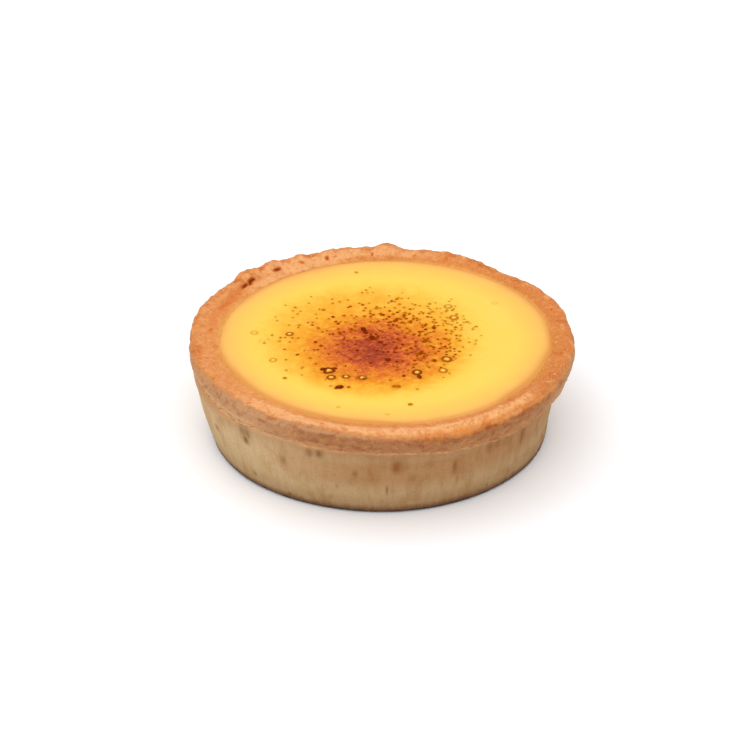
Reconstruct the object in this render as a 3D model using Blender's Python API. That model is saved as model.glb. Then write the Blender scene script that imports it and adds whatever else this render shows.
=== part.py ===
"""Lemon tartlet: a shortcrust case with a thick pressed collar, filled to the brim with set lemon curd.

Units are metres and +Z is up. The case stands on z = 0 and the collar's axis is the Z axis. Angles go
round that axis in degrees from +X, so 90 is the back and 270 the front.
"""

import math

import bmesh
import bpy

MM = 0.001

# Driving sizes of the case
COLLAR_RADIUS = 45.0 * MM
CASE_HEIGHT = 24.1 * MM
BASE_RADIUS = 39.5 * MM
BASE_CORNER = 1.2 * MM
WALL_TOP_RADIUS = 42.6 * MM
WALL_TOP_HEIGHT = 17.0 * MM
LIP_RADIUS = 44.1 * MM
LIP_HEIGHT = 17.8 * MM
LIP_ROUNDING = 0.7 * MM
SHOULDER_HEIGHT = 21.1 * MM
CREST_RADIUS = 42.7 * MM
CROWN_FULLNESS = 0.66
FLOOR_THICKNESS = 4.0 * MM
FLOOR_CORNER = 2.0 * MM

# The opening that holds the curd
OPENING_RADIUS = 38.5 * MM
OPENING_HEIGHT = 23.5 * MM
CAVITY_FOOT_RADIUS = 36.0 * MM

# The wall leans and the curd sits off centre, so both are shifted along X from the collar's axis
BASE_OFFSET = -0.65 * MM
WALL_TOP_OFFSET = -1.6 * MM
LIP_OFFSET = -0.8 * MM
OPENING_OFFSET = 0.85 * MM

# The curd
FIT_GAP = 0.3 * MM
CURD_LEVEL = 23.6 * MM
CURD_SAG = 0.2 * MM
CURD_EDGE_ROUNDING = 0.6 * MM
CURD_RINGS = (0.94, 0.82, 0.62, 0.35)  # shares of its radius

# How finely round shapes are divided
CASE_SEGMENTS = 120
CURD_SEGMENTS = 96
MERGE_DISTANCE = 1e-7
SMOOTH_ANGLE = math.radians(50.0)

# Where the hand-pressed collar stands out or falls back: angle, half width, outwards, upwards
COLLAR_LUMPS = (
    (92.0, 95.0, 0.15 * MM, 0.55 * MM),
    (130.0, 30.0, 0.30 * MM, 0.45 * MM),
    (30.0, 30.0, 0.25 * MM, 0.15 * MM),
    (12.0, 14.0, -0.45 * MM, -0.05 * MM),
    (50.0, 15.0, -0.90 * MM, -0.60 * MM),
    (69.0, 5.0, 0.10 * MM, 0.35 * MM),
    (82.0, 7.0, -0.10 * MM, -0.30 * MM),
    (88.5, 5.0, 0.20 * MM, 0.95 * MM),
    (103.0, 9.0, 0.10 * MM, 0.20 * MM),
    (112.0, 6.0, -0.10 * MM, -0.30 * MM),
    (121.0, 5.0, 0.00 * MM, -0.25 * MM),
    (127.5, 6.0, 0.45 * MM, 0.50 * MM),
    (137.0, 8.0, 0.65 * MM, 0.70 * MM),
    (158.0, 20.0, 0.25 * MM, 0.15 * MM),
    (222.0, 16.0, 0.15 * MM, -0.20 * MM),
    (246.0, 12.0, -0.10 * MM, 0.20 * MM),
    (284.0, 14.0, 0.10 * MM, -0.15 * MM),
    (318.0, 18.0, -0.15 * MM, 0.20 * MM),
)

# Where the collar's lower edge runs higher or lower: angle, half width, upwards
LIP_SWINGS = (
    (198.0, 20.0, -0.6 * MM),
    (238.0, 30.0, 1.3 * MM),
    (268.0, 24.0, 0.7 * MM),
    (305.0, 30.0, -0.8 * MM),
    (326.0, 22.0, -0.7 * MM),
    (15.0, 30.0, 0.4 * MM),
    (95.0, 36.0, -0.4 * MM),
    (150.0, 28.0, 0.4 * MM),
)

# Fine waver of the pressed dough: waves in a turn, height of a wave, start in radians
OUTWARD_WAVER = ((5, 0.12 * MM, 0.6), (9, 0.08 * MM, 2.1))
UPWARD_WAVER = ((7, 0.10 * MM, 1.3), (13, 0.08 * MM, 0.4))
LIP_WAVER = ((11, 0.15 * MM, 0.7),)

# The crease pressed into the top of the collar at the back left
CREASE_ANGLE = 147.0
CREASE_HALF_WIDTH = 34.0
CREASE_RADIUS = 42.4 * MM
CREASE_REACH = 1.3 * MM
CREASE_DEPTH = 0.45 * MM

# Where each kind of unevenness fades in, as a radius or a height
OUTWARD_ZONE = (39.3 * MM, 44.0 * MM)
UPWARD_ZONE = (39.4 * MM, 41.9 * MM)
COLLAR_ZONE = (WALL_TOP_HEIGHT, SHOULDER_HEIGHT)
CREASE_ZONE = (22.0 * MM, 23.4 * MM)
LIP_ZONE = (39.5 * MM, 40.5 * MM)
LIP_REACH = 3.4 * MM


def clear_scene():
    """Remove every object, so that the scene holds the tartlet alone."""
    for item in list(bpy.data.objects):
        bpy.data.objects.remove(item, do_unlink=True)


def smooth_step(value, low, high):
    """Rise smoothly from 0 at low to 1 at high."""
    share = min(max((value - low) / (high - low), 0.0), 1.0)
    return share * share * (3.0 - 2.0 * share)


def bell(away, half_width):
    """Fall smoothly from 1 where away is 0 to 0 where it reaches half_width."""
    return 0.5 + 0.5 * math.cos(math.pi * min(abs(away) / half_width, 1.0))


def turn_between(angle, centre):
    """Signed turn in degrees from centre to angle, the short way round."""
    return (angle - centre + 180.0) % 360.0 - 180.0


def waver(angle, waves):
    """Sum of a few sine waves round the case at an angle."""
    return sum(size * math.sin(count * math.radians(angle) + start) for count, size, start in waves)


def arc(centre, reach, start, end, steps, fullness=1.0):
    """Points of an arc in the (radius, height) plane, with both ends; a fullness under 1 squares it."""
    points = []
    for step in range(steps + 1):
        turn = math.radians(start + (end - start) * step / steps)
        across = math.copysign(abs(math.cos(turn)) ** fullness, math.cos(turn))
        along = math.copysign(abs(math.sin(turn)) ** fullness, math.sin(turn))
        points.append((centre[0] + reach[0] * across, centre[1] + reach[1] * along))
    return points


def line(start, end, steps):
    """Points inside a straight stretch in the (radius, height) plane, without its ends."""
    shares = [step / steps for step in range(1, steps)]
    return [(start[0] + (end[0] - start[0]) * t, start[1] + (end[1] - start[1]) * t) for t in shares]


def case_outside():
    """Profile from the middle of the underside, up the tapered wall, to below the collar's widest point."""
    foot = arc((BASE_RADIUS - BASE_CORNER, BASE_CORNER), (BASE_CORNER, BASE_CORNER), -90.0, -8.0, 3)
    wall_top = (WALL_TOP_RADIUS, WALL_TOP_HEIGHT)
    lip_centre = (LIP_RADIUS - LIP_ROUNDING, LIP_HEIGHT + LIP_ROUNDING)
    lip = arc(lip_centre, (LIP_ROUNDING, LIP_ROUNDING), -90.0, -10.0, 2)
    face = line(lip[-1], (COLLAR_RADIUS, SHOULDER_HEIGHT), 2)
    return [(0.0, 0.0)] + foot + line(foot[-1], wall_top, 4) + [wall_top] + lip + face


def case_top():
    """Profile over the full-shouldered top of the collar, from its widest point to the opening."""
    crown_reach = (COLLAR_RADIUS - CREST_RADIUS, CASE_HEIGHT - SHOULDER_HEIGHT)
    crown = arc((CREST_RADIUS, SHOULDER_HEIGHT), crown_reach, 0.0, 90.0, 5, CROWN_FULLNESS)
    inner_edge = (OPENING_RADIUS, OPENING_HEIGHT)
    return crown + line(crown[-1], inner_edge, 3) + [inner_edge]


def cavity_foot(gap):
    """Rounded foot of the cavity, or of what fills it with a gap all round, from the floor to the wall."""
    centre = (CAVITY_FOOT_RADIUS - FLOOR_CORNER, FLOOR_THICKNESS + FLOOR_CORNER)
    return arc(centre, (FLOOR_CORNER - gap, FLOOR_CORNER - gap), -90.0, 0.0, 3)


def case_inside():
    """Profile down the inner wall and round the foot of the cavity, to the middle of its floor."""
    foot = cavity_foot(0.0)[::-1]
    return line((OPENING_RADIUS, OPENING_HEIGHT), foot[0], 3) + foot + [(0.0, FLOOR_THICKNESS)]


def curd_profile():
    """Profile of the curd from the middle of its underside to the middle of its slightly sunken top."""
    foot = cavity_foot(FIT_GAP)
    rim_centre = (OPENING_RADIUS - FIT_GAP - CURD_EDGE_ROUNDING, CURD_LEVEL - CURD_EDGE_ROUNDING)
    rim = arc(rim_centre, (CURD_EDGE_ROUNDING, CURD_EDGE_ROUNDING), 0.0, 90.0, 3)
    top = [(rim_centre[0] * t, CURD_LEVEL - CURD_SAG * (1.0 - t * t)) for t in CURD_RINGS]
    bottom = [(0.0, FLOOR_THICKNESS + FIT_GAP)]
    middle = [(0.0, CURD_LEVEL - CURD_SAG)]
    return bottom + foot + line(foot[-1], rim[0], 3) + rim + top + middle


def turned(profile, segments):
    """Turn a profile that starts and ends on the Z axis into a closed shell."""
    shell = bmesh.new()
    verts = [shell.verts.new((radius, 0.0, height)) for radius, height in profile]
    edges = [shell.edges.new(pair) for pair in zip(verts, verts[1:])]
    bmesh.ops.spin(
        shell,
        geom=verts + edges,
        cent=(0.0, 0.0, 0.0),
        axis=(0.0, 0.0, 1.0),
        angle=math.tau,
        steps=segments,
        use_merge=True,
        use_duplicate=False,
    )
    bmesh.ops.remove_doubles(shell, verts=shell.verts, dist=MERGE_DISTANCE)
    bmesh.ops.recalc_face_normals(shell, faces=shell.faces)
    return shell


def cavity_offset(height):
    """Shift along X of the cavity, and of the curd in it, at a height."""
    share = (height - FLOOR_THICKNESS) / (OPENING_HEIGHT - FLOOR_THICKNESS)
    return BASE_OFFSET + (OPENING_OFFSET - BASE_OFFSET) * share


def shift_case(shell):
    """Lean the wall and set the cavity off centre. The collar's outside stays where it is."""
    for vert in shell.verts:
        radius = math.hypot(vert.co.x, vert.co.y)
        height = vert.co.z
        if height > FLOOR_THICKNESS - MERGE_DISTANCE and radius < OPENING_RADIUS + MERGE_DISTANCE:
            vert.co.x += cavity_offset(height)
        elif height > SHOULDER_HEIGHT:
            vert.co.x += OPENING_OFFSET * (1.0 - smooth_step(radius, OPENING_RADIUS, CREST_RADIUS))
        elif height < WALL_TOP_HEIGHT + MERGE_DISTANCE:
            vert.co.x += BASE_OFFSET + (WALL_TOP_OFFSET - BASE_OFFSET) * height / WALL_TOP_HEIGHT
        elif height < LIP_HEIGHT + MERGE_DISTANCE:
            vert.co.x += LIP_OFFSET


def press_collar(shell):
    """Give the case the uneven collar of a hand-pressed one. Its underside stays flat."""
    for vert in shell.verts:
        radius = math.hypot(vert.co.x, vert.co.y)
        if radius < UPWARD_ZONE[0]:
            continue
        angle = math.degrees(math.atan2(vert.co.y, vert.co.x))
        height = vert.co.z
        shares = [bell(turn_between(angle, lump[0]), lump[1]) for lump in COLLAR_LUMPS]
        out = waver(angle, OUTWARD_WAVER) + sum(t * lump[2] for t, lump in zip(shares, COLLAR_LUMPS))
        rise = waver(angle, UPWARD_WAVER) + sum(t * lump[3] for t, lump in zip(shares, COLLAR_LUMPS))
        swing = waver(angle, LIP_WAVER)
        for centre, half_width, lip_rise in LIP_SWINGS:
            swing += lip_rise * bell(turn_between(angle, centre), half_width)
        crease = CREASE_DEPTH * bell(turn_between(angle, CREASE_ANGLE), CREASE_HALF_WIDTH)
        on_collar = smooth_step(height, *COLLAR_ZONE)
        grown = 1.0 + out * on_collar * smooth_step(radius, *OUTWARD_ZONE) / radius
        vert.co.x *= grown
        vert.co.y *= grown
        vert.co.z += rise * on_collar * smooth_step(radius, *UPWARD_ZONE)
        vert.co.z += swing * bell(height - LIP_HEIGHT, LIP_REACH) * smooth_step(radius, *LIP_ZONE)
        vert.co.z -= crease * bell(radius - CREASE_RADIUS, CREASE_REACH) * smooth_step(height, *CREASE_ZONE)


def food_material(name, colour, roughness):
    """A Principled material of one colour."""
    material = bpy.data.materials.new(name)
    material.use_nodes = True
    shader = material.node_tree.nodes["Principled BSDF"]
    shader.inputs["Base Color"].default_value = (*colour, 1.0)
    shader.inputs["Roughness"].default_value = roughness
    shader.inputs["Metallic"].default_value = 0.0
    return material


def finished(name, shell, material):
    """Make a bmesh shell into a smooth-shaded object in the scene, with its material."""
    mesh = bpy.data.meshes.new(name)
    shell.to_mesh(mesh)
    shell.free()
    mesh.materials.append(material)
    mesh.shade_smooth()
    mesh.set_sharp_from_angle(angle=SMOOTH_ANGLE)
    item = bpy.data.objects.new(name, mesh)
    bpy.context.scene.collection.objects.link(item)


def make_crust():
    """The baked pastry case: flat underside, tapered wall, overhanging collar and cavity."""
    shell = turned(case_outside() + case_top() + case_inside(), CASE_SEGMENTS)
    shift_case(shell)
    press_collar(shell)
    finished("crust", shell, food_material("baked_pastry", (0.62, 0.33, 0.15), 0.75))


def make_filling():
    """The set curd, a loose fit in the case's cavity."""
    shell = turned(curd_profile(), CURD_SEGMENTS)
    for vert in shell.verts:
        vert.co.x += cavity_offset(vert.co.z)
    finished("lemon_filling", shell, food_material("set_curd", (0.95, 0.66, 0.12), 0.25))


def main():
    """Build the tartlet."""
    clear_scene()
    make_crust()
    make_filling()


main()
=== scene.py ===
"""Looks of a lemon tartlet: a hand-pressed shortcrust case, brimming with lemon curd scorched in the middle.

Units are metres, +Z is up and the tartlet stands on z = 0. Angles go round the collar's axis, the Z axis, in
degrees from +X, so 90 is the back and 270 the front. Colours are written as display values from 0 to 255.
"""

import logging
import math
import random
from dataclasses import dataclass
from enum import Enum

import bmesh
import bpy
from mathutils import Matrix, Vector, noise
from mathutils.bvhtree import BVHTree
from mathutils.kdtree import KDTree


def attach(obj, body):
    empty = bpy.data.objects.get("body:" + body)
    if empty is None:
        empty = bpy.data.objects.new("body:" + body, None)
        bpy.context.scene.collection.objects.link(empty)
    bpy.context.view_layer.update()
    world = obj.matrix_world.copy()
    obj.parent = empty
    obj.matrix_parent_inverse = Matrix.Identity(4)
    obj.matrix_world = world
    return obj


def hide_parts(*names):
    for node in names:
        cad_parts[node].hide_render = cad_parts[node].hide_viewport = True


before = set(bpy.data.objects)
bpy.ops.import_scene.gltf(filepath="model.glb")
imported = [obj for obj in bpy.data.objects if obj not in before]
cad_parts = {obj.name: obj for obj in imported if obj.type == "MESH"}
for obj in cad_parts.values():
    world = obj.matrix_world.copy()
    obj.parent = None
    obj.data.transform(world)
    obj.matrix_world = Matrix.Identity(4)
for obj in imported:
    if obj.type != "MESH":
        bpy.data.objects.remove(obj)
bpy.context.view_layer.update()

MM = 0.001
UP = Vector((0.0, 0.0, 1.0))
MERGE_DISTANCE = 1e-7
WALL_RADIUS = 40.0 * MM  # what the wall's streaks and their relief take for the radius at every height
WEDGE_DOUBLINGS = 4  # a turned shape is spun as a wedge, which is then doubled this often

Spot = tuple[float, float]
Colour = tuple[int, int, int]
Stops = tuple[tuple[float, Colour], ...]

log = logging.getLogger("tartlet")


class Slot(Enum):
    """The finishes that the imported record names."""

    PASTRY = "baked_pastry"
    CURD = "set_curd"


# ---- small sums


def part_way(start: float, end: float, share: float) -> float:
    """A share of the way from start to end."""
    return start + (end - start) * share


def smooth_step(value: float, low: float, high: float) -> float:
    """Rise smoothly from 0 at low to 1 at high."""
    share = min(max((value - low) / (high - low), 0.0), 1.0)
    return share * share * (3.0 - 2.0 * share)


def between(value: float, low: float, high: float, fade: float) -> float:
    """1 from low to high, with a smooth fade of a given width past each."""
    return smooth_step(value, low - fade, low) * (1.0 - smooth_step(value, high, high + fade))


def bell(away: float, half_width: float) -> float:
    """Fall smoothly from 1 where away is 0 to 0 where it reaches half_width."""
    return 0.5 + 0.5 * math.cos(math.pi * min(abs(away) / half_width, 1.0))


def angle_of(spot: Vector) -> float:
    """Angle of a spot in degrees."""
    return math.degrees(math.atan2(spot.y, spot.x))


def turn_between(angle: float, centre: float) -> float:
    """Signed turn in degrees from centre to angle, the short way round."""
    return (angle - centre + 180.0) % 360.0 - 180.0


def near(angle: float, centre: float, half_width: float) -> float:
    """Fall smoothly from 1 at a centre angle to 0 at half_width from it."""
    return bell(turn_between(angle, centre), half_width)


def arc_share(angle: float, start: float, end: float, fade: float) -> float:
    """1 from a start angle to an end angle, with a smooth fade of some degrees past each."""
    half = 0.5 * (end - start)
    return 1.0 - smooth_step(abs(turn_between(angle, start + half)), half, half + fade)


def arcs(angle: float, *rows: tuple[float, float, float, float]) -> float:
    """Sum of arc shares round the case, from rows of their strength, start, end and fade."""
    return sum(strength * arc_share(angle, start, end, fade) for strength, start, end, fade in rows)


def waver(angle: float, waves: tuple[tuple[int, float, float], ...]) -> float:
    """Sum of a few sine waves round the case: their count, size in millimetres and start."""
    return sum(size * MM * math.sin(count * math.radians(angle) + start) for count, size, start in waves)


def arc(centre: Spot, reach: Spot, start: float, end: float, steps: int, fullness: float = 1.0) -> list[Spot]:
    """Points of an arc in the (radius, height) plane.

    Args:
        centre: Middle of the arc.
        reach: Its half sizes across and up.
        start: First angle in degrees.
        end: Last angle in degrees.
        steps: Number of stretches.
        fullness: Under 1, the arc is squarer than an ellipse.

    Returns:
        The points, with both ends.
    """
    turns = [math.radians(part_way(start, end, step / steps)) for step in range(steps + 1)]
    pairs = [(math.cos(turn), math.sin(turn)) for turn in turns]
    return [
        tuple(c + r * math.copysign(abs(way) ** fullness, way) for c, r, way in zip(centre, reach, pair))
        for pair in pairs
    ]


def line(start: Spot, end: Spot, steps: int) -> list[Spot]:
    """Points inside a straight stretch in the (radius, height) plane, without its ends."""
    return [tuple(part_way(a, b, step / steps) for a, b in zip(start, end)) for step in range(1, steps)]


def lengths(profile: list[Spot], zero: Spot) -> list[float]:
    """Distance along a profile of each of its points from the one nearest to zero, in millimetres.

    Args:
        profile: Its (radius, height) points.
        zero: A point near the one that counts as 0.

    Returns:
        The distances.
    """
    run = [0.0]
    for before, after in zip(profile, profile[1:]):
        run.append(run[-1] + math.dist(before, after) / MM)
    nearest = min(range(len(profile)), key=lambda index: math.dist(profile[index], zero))
    return [length - run[nearest] for length in run]


def ripple(spot: Vector, size: float, rise: float = 0.0, seed: float = 0.0) -> float:
    """Soft noise from -1 to 1 at a spot.

    Args:
        spot: Where, in metres.
        size: Size of its lumps in millimetres.
        rise: Their size upwards where that differs.
        seed: Shift that makes another pattern.

    Returns:
        The noise there.
    """
    scale = 1.0 / (size * MM)
    upward = 1.0 / ((rise or size) * MM)
    return noise.noise(Vector((spot.x * scale + seed, spot.y * scale - seed, spot.z * upward + seed)))


def ripples(spot: Vector, *rows: tuple[float, ...]) -> float:
    """Sum of soft noise at a spot, from rows of its strength, size, size upwards (or 0) and seed."""
    return sum(row[0] * ripple(spot, *row[1:]) for row in rows)


def straightened(spot: Vector) -> Vector:
    """The spot moved out or in to the wall's usual radius, so that patterns run straight up a tapered wall."""
    return Vector((spot.x, spot.y, 0.0)).normalized() * WALL_RADIUS + UP * spot.z


def linear(colour: Colour) -> tuple[float, float, float, float]:
    """A display colour as opaque linear light."""
    levels = [value / 255.0 for value in colour]
    return (*(v / 12.92 if v <= 0.04045 else ((v + 0.055) / 1.055) ** 2.4 for v in levels), 1.0)


# ---- shader maths


class Channel:
    """A shader value or colour. Arithmetic on it adds Math nodes to its board."""

    def __init__(self, board: "Board", socket: bpy.types.NodeSocket) -> None:
        """Wrap an output socket of a board."""
        self.board = board
        self.socket = socket

    def sum_with(self, operation: str, *values: "Channel | float") -> "Channel":
        """The outcome of a Math operation on values, never clamped."""
        return self.board.channel("Math", {"operation": operation}, dict(enumerate(values)))

    def __add__(self, other: "Channel | float") -> "Channel":
        """This plus other."""
        return self.sum_with("ADD", self, other)

    __radd__ = __add__

    def __sub__(self, other: "Channel | float") -> "Channel":
        """This minus other."""
        return self.sum_with("SUBTRACT", self, other)

    def __rsub__(self, other: "Channel | float") -> "Channel":
        """Other minus this."""
        return self.sum_with("SUBTRACT", other, self)

    def __mul__(self, other: "Channel | float") -> "Channel":
        """This times other."""
        return self.sum_with("MULTIPLY", self, other)

    __rmul__ = __mul__

    def ramp(self, low: float, high: float) -> "Channel":
        """Rise smoothly from 0 where this is low to 1 where it is high."""
        settings = {"interpolation_type": "SMOOTHSTEP"}
        return self.board.channel("MapRange", settings, {0: self, 1: low, 2: high})


class Board:
    """The nodes of one material."""

    def __init__(self, name: str) -> None:
        """Start a material with a Principled shader.

        Args:
            name: The material's name.
        """
        self.material = bpy.data.materials.new(name)
        self.material.use_nodes = True
        self.tree = self.material.node_tree
        self.place = self.node("TexCoord").outputs["Object"]

    def node(self, kind: str, settings: dict | None = None, inputs: dict | None = None) -> bpy.types.Node:
        """Add a node.

        Args:
            kind: Its type, without "ShaderNode".
            settings: Its properties, and the stops of a ramp.
            inputs: Values or links of its sockets, by name or number.

        Returns:
            The node.
        """
        node = self.tree.nodes.new(f"ShaderNode{kind}")
        for name, value in (settings or {}).items():
            if name == "stops":
                self.set_stops(node.color_ramp.elements, value)
            else:
                setattr(node, name, value)
        self.feed(node, inputs or {})
        return node

    def feed(self, node: bpy.types.Node, inputs: dict) -> None:
        """Set or link sockets of a node, by name or number.

        Args:
            node: The node.
            inputs: Values, display colours or links, by name or number.
        """
        for key, value in inputs.items():
            socket = node.inputs[key]
            if isinstance(value, Channel):
                self.tree.links.new(value.socket, socket)
            elif isinstance(value, bpy.types.NodeSocket):
                self.tree.links.new(value, socket)
            elif isinstance(value, tuple) and len(socket.default_value) == 4:
                socket.default_value = linear(value)
            else:
                socket.default_value = value

    @staticmethod
    def set_stops(elements: bpy.types.ColorRampElements, stops: Stops) -> None:
        """Give a colour ramp its stops.

        Args:
            elements: The ramp's stops, as Blender adds them.
            stops: Positions from 0 to 1, and colours.
        """
        elements.remove(elements[-1])
        for number, (position, colour) in enumerate(stops):
            element = elements.new(position) if number else elements[0]
            element.position, element.color = position, linear(colour)

    def channel(self, kind: str, settings: dict, inputs: dict, output: str | int = 0) -> Channel:
        """Add a node and wrap one of its outputs."""
        return Channel(self, self.node(kind, settings, inputs).outputs[output])

    def painted(self, name: str) -> Channel:
        """A value that the mesh carries at its vertices."""
        return self.channel("Attribute", {"attribute_name": name}, {}, "Fac")

    def vector(self, operation: str, *values: "Channel | bpy.types.NodeSocket | tuple") -> Channel:
        """The outcome of a Vector Math operation on values."""
        return self.channel("VectorMath", {"operation": operation}, dict(enumerate(values)))

    def scaled_place(self, size: float, rise: float | None = None) -> Channel:
        """Object coordinates counted in lumps of a size in millimetres, or another size upwards."""
        scale = 1.0 / (size * MM)
        return self.vector("MULTIPLY", self.place, (scale, scale, 1.0 / ((rise or size) * MM)))

    def noise(self, place: Channel, detail: float, warp: float) -> Channel:
        """Cloudy noise round 0.5 at a place counted in lumps."""
        inputs = {"Vector": place, "Scale": 1.0, "Detail": detail, "Distortion": warp}
        return self.channel("TexNoise", {"noise_dimensions": "3D"}, inputs)

    def grain(self, size: float, detail: float = 2.0, warp: float = 0.0, rise: float | None = None) -> Channel:
        """Cloudy noise round 0.5, with lumps of a size in millimetres."""
        return self.noise(self.scaled_place(size, rise), detail, warp)

    def streaks(self, size: float, rise: float, detail: float, warp: float) -> Channel:
        """Like grain, but streaks run straight up a tapered wall.

        Args:
            size: Their width in millimetres.
            rise: Their length.
            detail: How many finer layers they have.
            warp: How far they are bent.

        Returns:
            Noise round 0.5.
        """
        outward = self.vector("NORMALIZE", self.vector("MULTIPLY", self.place, (1.0, 1.0, 0.0)))
        upright = self.vector("MULTIPLY", self.place, (0.0, 0.0, 1.0 / (rise * MM)))
        share = WALL_RADIUS / (size * MM)
        return self.noise(self.vector("MULTIPLY_ADD", outward, (share, share, 0.0), upright), detail, warp)

    def cells(self, size: float) -> Channel:
        """Distance to the nearest of scattered points, in units of their spacing in millimetres."""
        inputs = {"Vector": self.scaled_place(size), "Scale": 1.0}
        return self.channel("TexVoronoi", {"feature": "F1"}, inputs, "Distance")

    def stops(self, value: Channel, stops: Stops) -> Channel:
        """Colour by a value, from stops given in that value's own units.

        Args:
            value: The value.
            stops: The stops, in rising order.

        Returns:
            The colour.
        """
        low, high = stops[0][0], stops[-1][0]
        share = self.channel("MapRange", {}, {0: value, 1: low, 2: high})
        placed = [((position - low) / (high - low), colour) for position, colour in stops]
        return self.channel("ValToRGB", {"stops": placed}, {"Fac": share})

    def mix(self, under: Channel | Colour, over: Channel | Colour, share: Channel) -> Channel:
        """Blend a colour over another by a share."""
        return self.channel("Mix", {"data_type": "RGBA"}, {0: share, 6: under, 7: over}, 2)

    def tint(self, colour: Channel, by: Channel | Colour, share: Channel) -> Channel:
        """Multiply a colour by another, as far as a share."""
        settings = {"data_type": "RGBA", "blend_type": "MULTIPLY"}
        return self.channel("Mix", settings, {0: share, 6: colour, 7: by}, 2)

    def bump(self, height: Channel, depth: float, under: Channel | None = None) -> Channel:
        """A normal bent by a height whose full swing is a depth in millimetres."""
        inputs = {"Strength": 1.0, "Distance": depth * MM, "Height": height}
        return self.channel("Bump", {}, inputs | ({"Normal": under} if under else {}))

    def finish(self, colour: Channel | Colour, rough: Channel | float, others: dict) -> bpy.types.Material:
        """Feed the shader, and give the material."""
        self.feed(self.tree.nodes["Principled BSDF"], {"Base Color": colour, "Roughness": rough} | others)
        return self.material


# ---- finishes


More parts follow.
